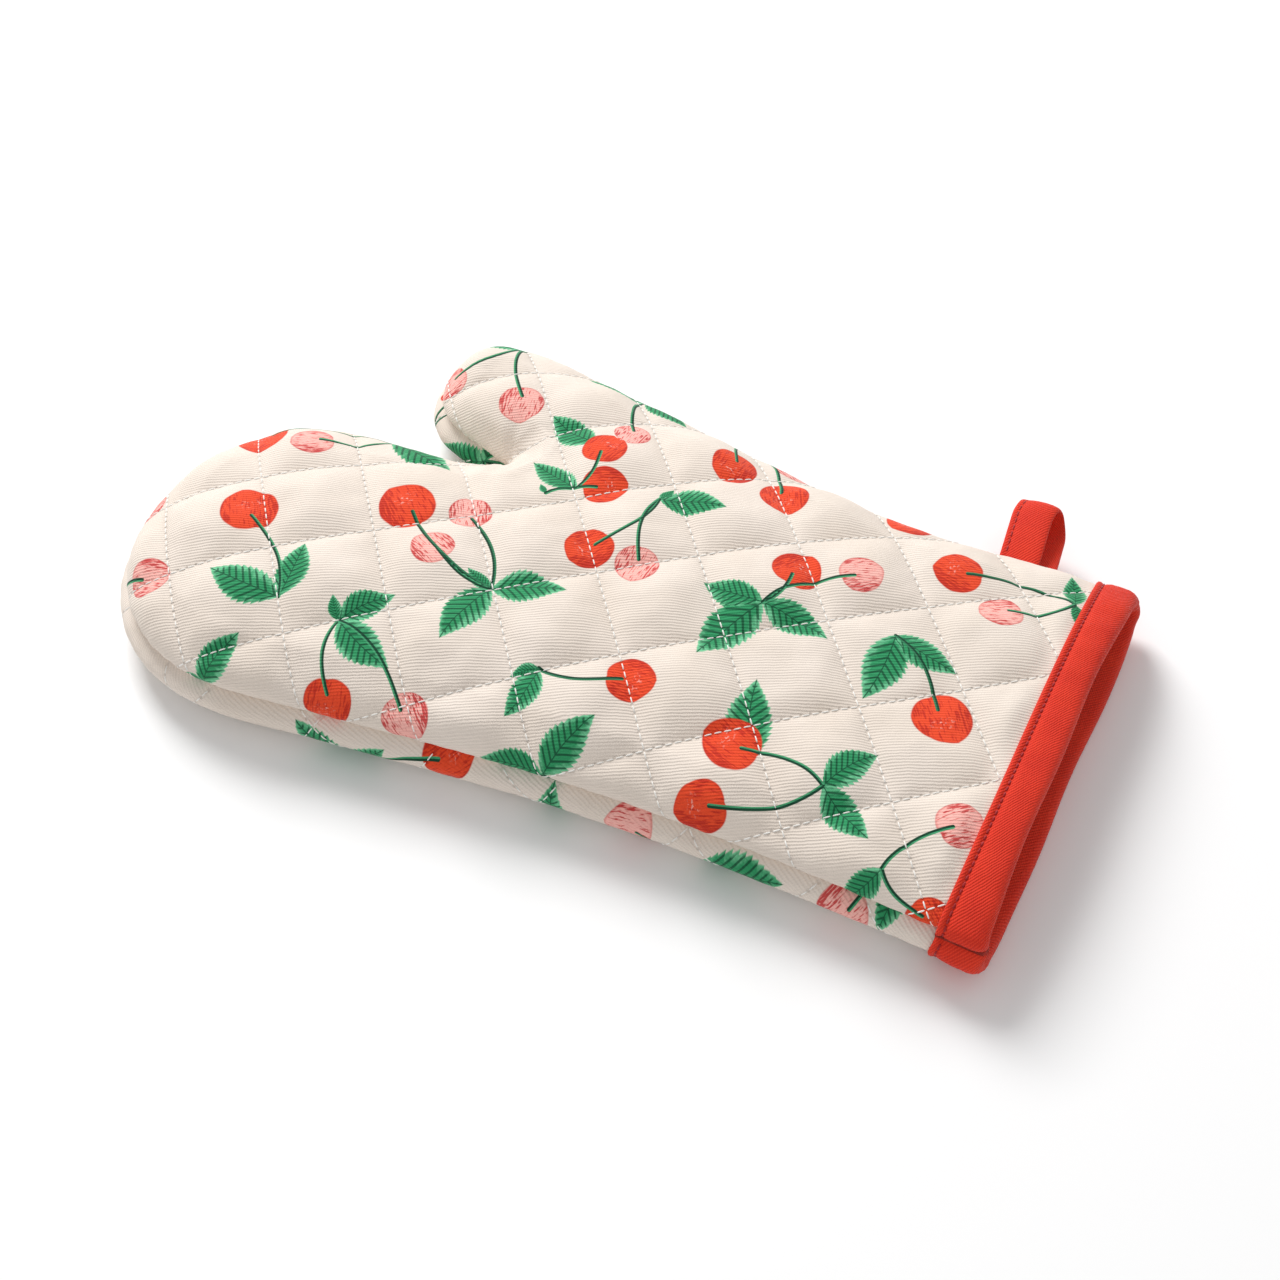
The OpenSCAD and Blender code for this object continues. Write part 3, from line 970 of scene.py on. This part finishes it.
def cherry_layer(s, colour):
    x, y, kind = s.split(s.attribute("cherry"))
    pink = (kind * 0.5).fract().over(0.48)
    seed = kind.fract()
    notch = x.abs().max(0.001).power(0.75) * 0.62 - 0.22
    lift = y - notch * 0.22
    wobble = s.noise(s.join(x, y, seed * 30.0), 1.4, 1.0) * 0.10 - 0.05
    r = x.length_with(lift) + wobble
    mask = ((r * -1.0 + 0.97) * 22.0).clip()
    hatch = s.noise(s.join(x * 9.0 - y * 2.0, y * 1.3 + x * 0.8, seed * 40.0), 1.5, 2.0)
    side = x * 0.9 - y * 0.35 + seed * 0.5 - 0.35
    strokes = ((hatch - 0.55) * 12.0).clip()
    shade = ((side.max(side * -0.45) * 1.9 - 0.5 + (hatch - 0.5) * 6.0) * 1.7).clip()
    rim = ((r - 0.84) * 9.0).clip() * 0.6
    specks = s.noise(s.join(x, y * 1.6, seed * 20.0), 7.0, 2.0)
    patch = (x + 0.12).length_with((y + 0.22) * 1.8) * -3.0 + 1.5
    bright = ((specks - 0.56) * 12.0).clip() * patch.clip()
    red = s.mix((strokes * 0.4).max(shade * 0.75).max(rim * 0.7), srgb(232, 74, 38), srgb(180, 32, 22))
    rose = s.mix((strokes * 0.28).max(shade).max(rim), srgb(246, 182, 172), srgb(200, 74, 72))
    fruit = s.mix(pink, red, rose)
    fruit = s.mix(bright * 0.75, fruit, srgb(246, 176, 164))
    return s.mix(mask, colour, fruit)


def stem_layer(s, colour, name):
    across, past, seed = s.split(s.attribute(name))
    width = across.length_with(past.max(0.0))
    mask = ((width * -1.0 + STEM_HALF) * 7.0).clip()
    edge = ((across + 0.22) * 5.0).clip()
    green = s.mix(edge.max(seed.over(0.6) * 0.5), srgb(66, 156, 108), srgb(8, 66, 44))
    return s.mix(mask, colour, green)


def quilt_dimples(s, x, y):
    """1 at the needle holes of the quilting lines, 0 away from them: a dent in the bump, and painted shade
    in the cloth's colour.
    """
    c, n = math.cos(QUILT_TURN), math.sin(QUILT_TURN)
    u = (x * c + y * n - QUILT_SHIFT[0]) * (1 / QUILT)
    v = (x * n - y * c - QUILT_SHIFT[1]) * (1 / QUILT)
    out = None
    for a, b in ((u, v), (v, u)):
        off = ((a + 0.5).fract() - 0.5) * QUILT
        along = ((b * PER_LINE + 0.5).fract() - 0.5) * (QUILT / PER_LINE)
        hole = (off.length_with(along) * -1.1 + 1.0).clip()
        groove = (off.abs() * -0.8 + 1.0).clip() * 0.35
        here = hole.max(groove)
        out = here if out is None else out.max(here)
    return out


def printed_cotton():
    s = Shader("printed_cotton", Roughness=0.86, Sheen_Weight=0.18, Sheen_Roughness=0.4,
               Specular_IOR_Level=0.25)
    flat = s.attribute("cloth")
    x, y, _ = s.split(flat)
    fleck = s.noise(flat, 0.22, 3.0)
    weave = twill(s, x, y, 1.05, math.radians(27))
    patch = s.noise(flat, 0.03, 2.0)
    colour = s.mix((patch * 2.0 - 0.5).clip(), srgb(233, 221, 210), srgb(226, 213, 200))
    colour = leaf_layer(s, colour, "leaf_b", fleck)
    colour = leaf_layer(s, colour, "leaf_a", fleck)
    colour = cherry_layer(s, colour)
    colour = stem_layer(s, colour, "stem_b")
    colour = stem_layer(s, colour, "stem_a")
    slub = s.noise(s.join(x * 0.3 + y * 0.6, y * 2.0 - x), 1.0, 2.0)
    dimple_and_painted_shade = quilt_dimples(s, x, y)
    # Grey level of the colour: painted shade darkens the weave's grooves and lightens its ribs, and darkens
    # the needle holes and the quilting lines; the slub adds yarn unevenness.
    level = (weave - 0.5) * 0.10 + (slub - 0.5) * 0.06 - dimple_and_painted_shade * 0.13 + 1.0
    s.bump(weave * 0.16 + slub * 0.07 - dimple_and_painted_shade * 0.45, 0.001)
    return s.finish(s.shade(colour, level))


def plain_cotton(name, light, dark, pitch=0.8):
    """A plain woven cotton, from the object's coordinates."""
    s = Shader(name, Roughness=0.9, Sheen_Weight=0.15, Sheen_Roughness=0.5)
    place = s.place()
    x, y, z = s.split(place)
    warp = ((x + z * 0.3) * (2 * math.pi / (pitch * MM))).sin()
    weft = ((y + z * 0.3) * (2 * math.pi / (pitch * MM))).sin()
    patch = s.noise(place, 90.0, 3.0)
    s.bump(warp * weft * 0.3 + patch, 0.0004)
    return s.finish(s.mix((patch * 2.0 - 0.5).clip(), light, dark))


def red_twill():
    s = Shader("red_twill", Roughness=0.75, Sheen_Weight=0.12, Sheen_Roughness=0.35,
               Specular_IOR_Level=0.3)
    x, y, _ = s.split(s.attribute("cloth"))
    weave = twill(s, x, y, 0.85, math.radians(38))
    slub = s.noise(s.join(x * 0.5, y * 1.5), 0.9, 2.0)
    patch = s.noise(s.join(x, y), 0.08, 2.0)
    colour = s.mix((patch * 2.0 - 0.5).clip(), srgb(228, 50, 22), srgb(212, 37, 17))
    # Painted highlight: the crests of the twill's ribs are lightened.
    rib_crest_highlight = (weave * 1.6 - 0.9).clip() * 0.45
    colour = s.mix(rib_crest_highlight, colour, srgb(240, 92, 56))
    s.bump(weave * 0.22 + slub * 0.2, 0.001)
    # The colour is darker in the weave's grooves as painted shade; the slub adds yarn unevenness.
    return s.finish(s.shade(colour, weave * 0.22 + slub * 0.2 + 0.78))


def thread(name, light, dark, gloss):
    """Twisted sewing thread with a soft sheen."""
    s = Shader(name, Roughness=gloss, Sheen_Weight=0.3, Sheen_Roughness=0.3)
    place = s.place()
    x, y, z = s.split(place)
    twist = ((x + y * 1.3 + z) * (2 * math.pi / (0.35 * MM))).sin() * 0.5 + 0.5
    fuzz = s.noise(place, 2200.0, 2.0)
    s.bump(twist + fuzz * 0.5, 0.00004)
    # The colour is darker in the twist's grooves as painted shade; the fuzz varies it at random.
    return s.finish(s.mix((twist * 0.6 + fuzz * 0.4).clip(), dark, light))


def batting():
    s = Shader("wadding", Roughness=0.95, Sheen_Weight=0.3, Sheen_Roughness=0.6)
    place = s.place()
    fibre = s.noise(place, 900.0, 4.0, 0.7)
    tuft = s.noise(place, 140.0, 2.0)
    s.bump(fibre + tuft, 0.0008)
    return s.finish(s.mix((fibre * 0.7 + tuft * 0.5).clip(), srgb(222, 220, 214), srgb(250, 249, 246)))


# --- covers, wadding, lining

COVER_T = 0.4
WADDING_T = 4.0
LINING_T = 0.4
STITCH_R = 0.27
COARSE = 3.0              # mesh spacing of wadding and lining
PAD_SUNK = 1.3            # how far the wadding's top lies under the cover's face
CROTCH_SUNK = 1.5         # and how much deeper it lies at the crotch
LINING_GAP = 0.2


def write_layer(name, panel, top, under, material, node_names, data=None):
    """One layer of a panel between two offsets below its surface, as a hand's and a thumb's piece."""
    normals = panel.vertex_normals(panel.co)
    skin = panel.co - top * normals
    inner = panel.co - under * panel.base_normals
    out = {}
    for part, faces in parts_of(panel.faces, panel.unbulged()).items():
        kept, (a, b, q, n) = used_only(faces, skin, inner, panel.q, normals)
        co, closed = shell(a, b, kept)
        obj = add_object(f"{name}_{part}", co, closed, material)
        if data is not None:
            write_cloth_data(obj, np.vstack([q, q]), data)
            obj.data.normals_split_custom_set_from_vertices(np.vstack([n, -n]).tolist())
        bend(obj, part)
        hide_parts(*node_names[part])
        out[part] = obj
    return out


def write_stitches(sets, name, material, node):
    """The stitches of one kind as a hand's and a thumb's piece."""
    for part, stitches in sets.items():
        if stitches.count:
            obj = stitches.write(f"{name}_{part}", material)
            bend(obj, part)
            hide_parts(node)


def make_side(side, word, cloth, mats, pattern):
    """Everything that one panel is made of."""
    panel = Panel(side, STEP)
    panel.puff(cloth)
    cover = f"{word}_cover"
    covers = write_layer(cover, panel, 0, COVER_T, mats["print"],
                         {"hand": [cover], "thumb": [cover]}, pattern)
    look = Lookup(panel)
    write_stitches(quilting_stitches(panel, look), f"{word}_quilting", mats["white"],
                   f"{word}_quilting_thread")
    coarse = Panel(side, COARSE)
    coarse.puff(cloth)
    wadding = f"{word}_wadding"
    from_crotch = np.linalg.norm(coarse.co[:, :2] - CROTCH, axis=1)[:, None]
    sunk = PAD_SUNK + CROTCH_SUNK * np.exp(-(from_crotch / 9) ** 2)
    pads = write_layer(f"{word}_pad", coarse, sunk, COVER_T + WADDING_T, mats["wadding"],
                       {"hand": [wadding, wadding + "_fingers"], "thumb": [wadding + "_thumb"]})
    coarse.co = coarse.base
    lining = f"{word}_lining"
    inside = COVER_T + WADDING_T + LINING_GAP
    linings = write_layer(lining, coarse, inside, inside + LINING_T, mats["lining"],
                          {"hand": [lining], "thumb": [lining]})
    return panel


# --- binding round the mouth

# Binding's section: along the mitt from the raw edge, and out from the cover (0) to the lining (-6).
BAND = [(-14.0, 0.1), (-14.3, 0.7), (-13.9, 1.25), (-13.2, 1.3), (-12.6, 1.05), (-12.1, 0.5),
        (-11.7, 0.5), (-11.1, 1.0), (-9.5, 1.35), (-6.5, 1.4), (-3.0, 1.3), (-1.2, 0.9), (0.0, 0.2),
        (0.8, -0.8), (1.1, -2.0), (0.8, -3.3), (0.0, -4.3), (-1.2, -4.9), (-5.0, -5.2), (-9.5, -5.2),
        (-11.1, -5.1), (-11.7, -4.8), (-12.1, -4.8), (-12.6, -5.0), (-13.4, -5.2), (-14.0, -5.0),
        (-14.0, -4.6), (-11.0, -4.4), (-1.4, -4.2), (-0.5, -3.2), (-0.2, -2.0), (-0.5, -0.9),
        (-1.4, -0.1), (-11.0, 0.05)]
WALL = 6.0


def mouth_loop(x, inset, count):
    """The mitt's section at x, drawn in by an amount, as an even number of points round the mouth."""
    edge = seam_outline()
    low = np.interp(x, edge[:80][::-1, 0], edge[:80][::-1, 1]) + inset
    high = np.interp(x, edge[-80:, 0], edge[-80:, 1]) - inset
    out = []
    for k in range(count):
        turn = 2 * math.pi * k / count
        side = 1 if turn < math.pi else -1
        across = -math.cos(turn)
        y = 0.5 * (low + high) + 0.5 * (high - low) * across
        d = 0.5 * (high - low) * (1 - abs(across)) + 1e-6
        reach = (crown_height(x) if side > 0 else palm_depth(x)) - inset
        y += math.copysign(bulge(d, side), across)
        out.append((x, y, SEAM_Z + side * reach * rise(d, side)))
    return np.array(out)


def round_loop(points, step):
    """Evenly spaced places along a closed loop, as parameters into it."""
    closed = np.vstack([points, points[:1]])
    run = lengths(closed)
    count = int(round(run[-1] / step))
    at = np.linspace(0, run[-1], count, endpoint=False)
    return np.interp(at, run, np.arange(len(closed))), at


def loop_at(points, where):
    """The points at these parameters of a closed loop."""
    closed = np.vstack([points, points[:1]])
    return np.stack([np.interp(where, np.arange(len(closed)), closed[:, k]) for k in range(3)], -1)


class Band:
    """The bound edge: a strip folded over the mouth's raw edge, swept round it."""

    COUNT = 720

    def __init__(self):
        self.where, self.run = round_loop(mouth_loop(CUFF_X, 0, self.COUNT), 1.2)

    def ring(self, t, out):
        """The band's points round the mouth for one point of its section."""
        x = min(CUFF_X + t, CUFF_X)
        outer = loop_at(mouth_loop(x, 0, self.COUNT), self.where)
        inner = loop_at(mouth_loop(x, WALL, self.COUNT), self.where)
        tangent = np.roll(outer, -1, 0) - np.roll(outer, 1, 0)
        normal = unit(np.c_[np.zeros(len(outer)), -tangent[:, 2], tangent[:, 1]])
        y = outer[:, 1]
        corner = np.exp(-(np.minimum(y.max() - y, y - y.min()) / 5) ** 2)
        pucker = (0.16 * np.sin(self.run / 2.1 + 2 * np.sin(self.run / 17))
                  + 0.5 * corner * np.sin(self.run / 1.3 + t / 3))
        free = 1 if t > -11 else 0.35
        if out > 0:
            place = outer + (out + pucker * free * 0.8)[:, None] * normal
        else:
            place = outer + (inner - outer) * (-out / WALL)
        front = smoothstep((t + 11) / 11)
        rank = np.clip((SEAM_Z - outer[:, 2]) / 16, -1, 1)
        place[:, 0] = (CUFF_X + t + front * (0.6 + 2.4 * rank)
                       + 0.3 * np.sin(self.run / 23) + 0.35 * corner * np.sin(self.run / 1.7)
                       + 0.35 * front * np.sin(self.run / 11 + 1))
        place[:, 2] = np.maximum(place[:, 2], 0.05)
        return place

    def write(self, material):
        rings = [self.ring(t, out) for t, out in BAND]
        n, m = len(self.where), len(rings)
        q = np.stack([np.tile(self.run, m), np.repeat(lengths(np.array(BAND)), n)], -1)
        obj = add_object("binding", np.vstack(rings), tube_faces(m, n, closed=True), material)
        write_cloth_data(obj, q)
        return obj

    def stitches(self):
        """The topstitching on both faces of the band."""
        out = Stitches()
        for t, depth, sign in ((-11.9, 0.78, 1), (-11.9, -5.9, -1)):
            line = self.ring(t, depth)
            for k in range(0, len(line) - 2, 2):
                a, b = line[k], line[(k + 2) % len(line)]
                tangent = b - a
                hop = 0.1 * tangent
                normal = sign * np.array([0, -tangent[2], tangent[1]])
                out.add(a + hop, b - hop, normal, 0.36)
        return out


# --- hanging loop

LOOP_X = 0.5 * (LOOP_LOW[0] + LOOP_HIGH[0])
LOOP_W = LOOP_HIGH[0] - LOOP_LOW[0]
TAPE_W = 14.5
TAPE_T = 1.2
PATH_STEP = 0.8


def loop_path():
    """The tape's middle line from the side: out along the top, round the end and back underneath."""
    y0, y1 = LOOP_LOW[1], LOOP_HIGH[1] - 5
    top, low = LOOP_HIGH[2] - TAPE_T / 2, LOOP_LOW[2] + TAPE_T / 2
    mid = 0.5 * (top + low)
    end = [(y1 + (top - mid) * math.sin(a), mid + (top - mid) * math.cos(a))
           for a in np.radians([0, 30, 60, 90, 120, 150, 180])]
    points = [(y0 - 2, mid + 0.8), (y0 + 6, mid + 2.6), (y1 - 9, top - 0.4)] + end
    points += [(y1 - 9, low + 0.5), (y0 + 6, mid - 2.4), (y0 - 2, mid - 0.8)]
    return smooth_through(points, PATH_STEP)


def loop_point(path, i, across, lift):
    """A point on the tape: across from its middle, and out from its middle line."""
    t = path[min(i + 1, len(path) - 1)] - path[max(i - 1, 0)]
    t = t / np.linalg.norm(t)
    normal = np.array([-t[1], t[0]])
    share = i / (len(path) - 1)
    curl = 0.9 * math.sin(math.pi * share) ** 2 * (2 * across / TAPE_W) ** 2
    y, z = path[i] + (lift - curl * (1 if across > 0 else 0.3)) * normal
    lean = -0.13 * (y - LOOP_LOW[1])
    leg = 6.5 * (smoothstep((share - 0.3) / 0.4) - 0.5)
    tilt = 0.16 * across * math.sin(math.pi * share)
    return np.array([LOOP_X + leg + across + lean, y, z + tilt])


def hanging_loop(material):
    """A folded tape: sewn along its open edge, its other edge is a soft fold."""
    path = loop_path()
    half, t = TAPE_W / 2, TAPE_T / 2
    top = [(-half + 0.1, -0.5 * t), (-half, 0), (-half + 0.1, 0.6 * t), (-half + 0.6, 1.0 * t),
           (-half + 1.4, 1.0 * t), (-half + 2.0, 0.5 * t), (-half + 2.6, 1.0 * t), (-half + 4, 1.3 * t),
           (-1.5, 1.5 * t), (1.5, 1.6 * t), (half - 3.2, 1.6 * t), (half - 1.4, 1.4 * t),
           (half - 0.5, 0.9 * t), (half, 0.1), (half - 0.4, -0.7 * t)]
    under = [(x, -0.9 * t) for x in (half - 1.6, half - 4, 1.5, -1.5, -half + 4, -half + 0.8)]
    section = top + under
    n = len(section)
    co = [loop_point(path, i, a, b) for i in range(len(path)) for a, b in section]
    faces = [tuple(range(n))] + [(a, d, c, b) for a, b, c, d in tube_faces(len(path), n)]
    faces.append(tuple(reversed(range((len(path) - 1) * n, len(path) * n))))
    obj = add_object("loop_tape", np.array(co), faces, material)
    q = np.array([(i * PATH_STEP, a + 0.4 * b) for i in range(len(path)) for a, b in section])
    write_cloth_data(obj, q)
    threads = Stitches()
    across = -half + 2.0
    for i in range(4, len(path) - 8, 4):
        a, b = loop_point(path, i, across, 0.52), loop_point(path, i + 3, across, 0.52)
        out = loop_point(path, i + 1, across, 2) - loop_point(path, i + 1, across, 0)
        threads.add(a, b, out, 0.3, 0.15)
    return obj, threads


def follow_loop(obj):
    """Bakes the tape's place into its mesh."""
    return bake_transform(obj)


# --- camera, light and floor

def look_through(place, forward, up, lens):
    """The scene's camera, at a place in mm."""
    forward, up = Vector(forward).normalized(), Vector(up)
    right = forward.cross(up).normalized()
    up = right.cross(forward)
    data = bpy.data.cameras.new("camera")
    data.lens = lens
    data.sensor_width = 36
    cam = link_object("camera", data)
    rows = [[right[i], up[i], -forward[i], place[i] * MM] for i in range(3)]
    cam.matrix_world = Matrix(rows + [[0, 0, 0, 1]])
    bpy.context.scene.camera = cam


def area_light(name, place, size, power):
    """A square lamp at a place in metres, turned towards the mitt."""
    data = bpy.data.lights.new(name, "AREA")
    data.size, data.energy = size, power
    lamp = link_object(name, data)
    lamp.location = place
    lamp.rotation_euler = (-Vector(place)).to_track_quat("-Z", "Y").to_euler()


def studio():
    look_through((188, -352.5, 498), (-0.2769, 0.5585, -0.7819), (-0.3625, 0.6929, 0.6233), 50.6)
    s = Shader("floor", Roughness=0.9)
    grain = s.noise(s.place(), 3.0)
    far = 4000
    floor = add_object("floor", [(-far, -far, 0), (far, -far, 0), (far, far, 0), (-far, far, 0)],
                       [(0, 1, 2, 3)], s.finish(s.mix(grain, (0.93, 0.93, 0.93, 1), (0.95, 0.95, 0.95, 1))))
    world = bpy.data.worlds.new("studio")
    bpy.context.scene.world = world
    world.use_nodes = True
    world.node_tree.nodes["Background"].inputs[0].default_value = (1, 1, 1, 1)
    world.node_tree.nodes["Background"].inputs[1].default_value = 0.5
    area_light("key", (-1.5, 1.25, 1.6), 1.1, 64)
    area_light("fill", (0.6, -1.8, 1.8), 2.4, 7)
    bpy.context.scene.view_settings.view_transform = "Standard"


# --- the mitt

def make_mitt():
    cloth = QuiltedCloth(simulate=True)
    mats = {"print": printed_cotton(), "wadding": batting(),
            "lining": plain_cotton("lining_cotton", srgb(238, 232, 222), srgb(228, 220, 208)),
            "white": thread("white_thread", srgb(255, 253, 250), srgb(242, 238, 230), 0.7)}
    red = red_twill()
    dark = thread("red_thread", srgb(196, 24, 26), srgb(140, 8, 16), 0.5)
    back = make_side(1, "back", cloth, mats, Print(SPRIGS))
    make_side(-1, "palm", cloth, mats, Print(palm_sprigs()))
    write_stitches(seam_stitches(back), "seam", mats["white"], "side_seam_thread")
    band = Band()
    binding = band.write(red)
    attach(binding, "hand")
    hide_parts("cuff_binding")
    topstitch = band.stitches().write("topstitch", dark)
    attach(topstitch, "hand")
    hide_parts("binding_topstitch")
    tape, threads = hanging_loop(red)
    follow_loop(tape)
    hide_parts("hanging_loop")
    sewn = threads.write("loop_stitches", dark)
    follow_loop(sewn)
    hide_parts("loop_stitching")


make_mitt()
studio()
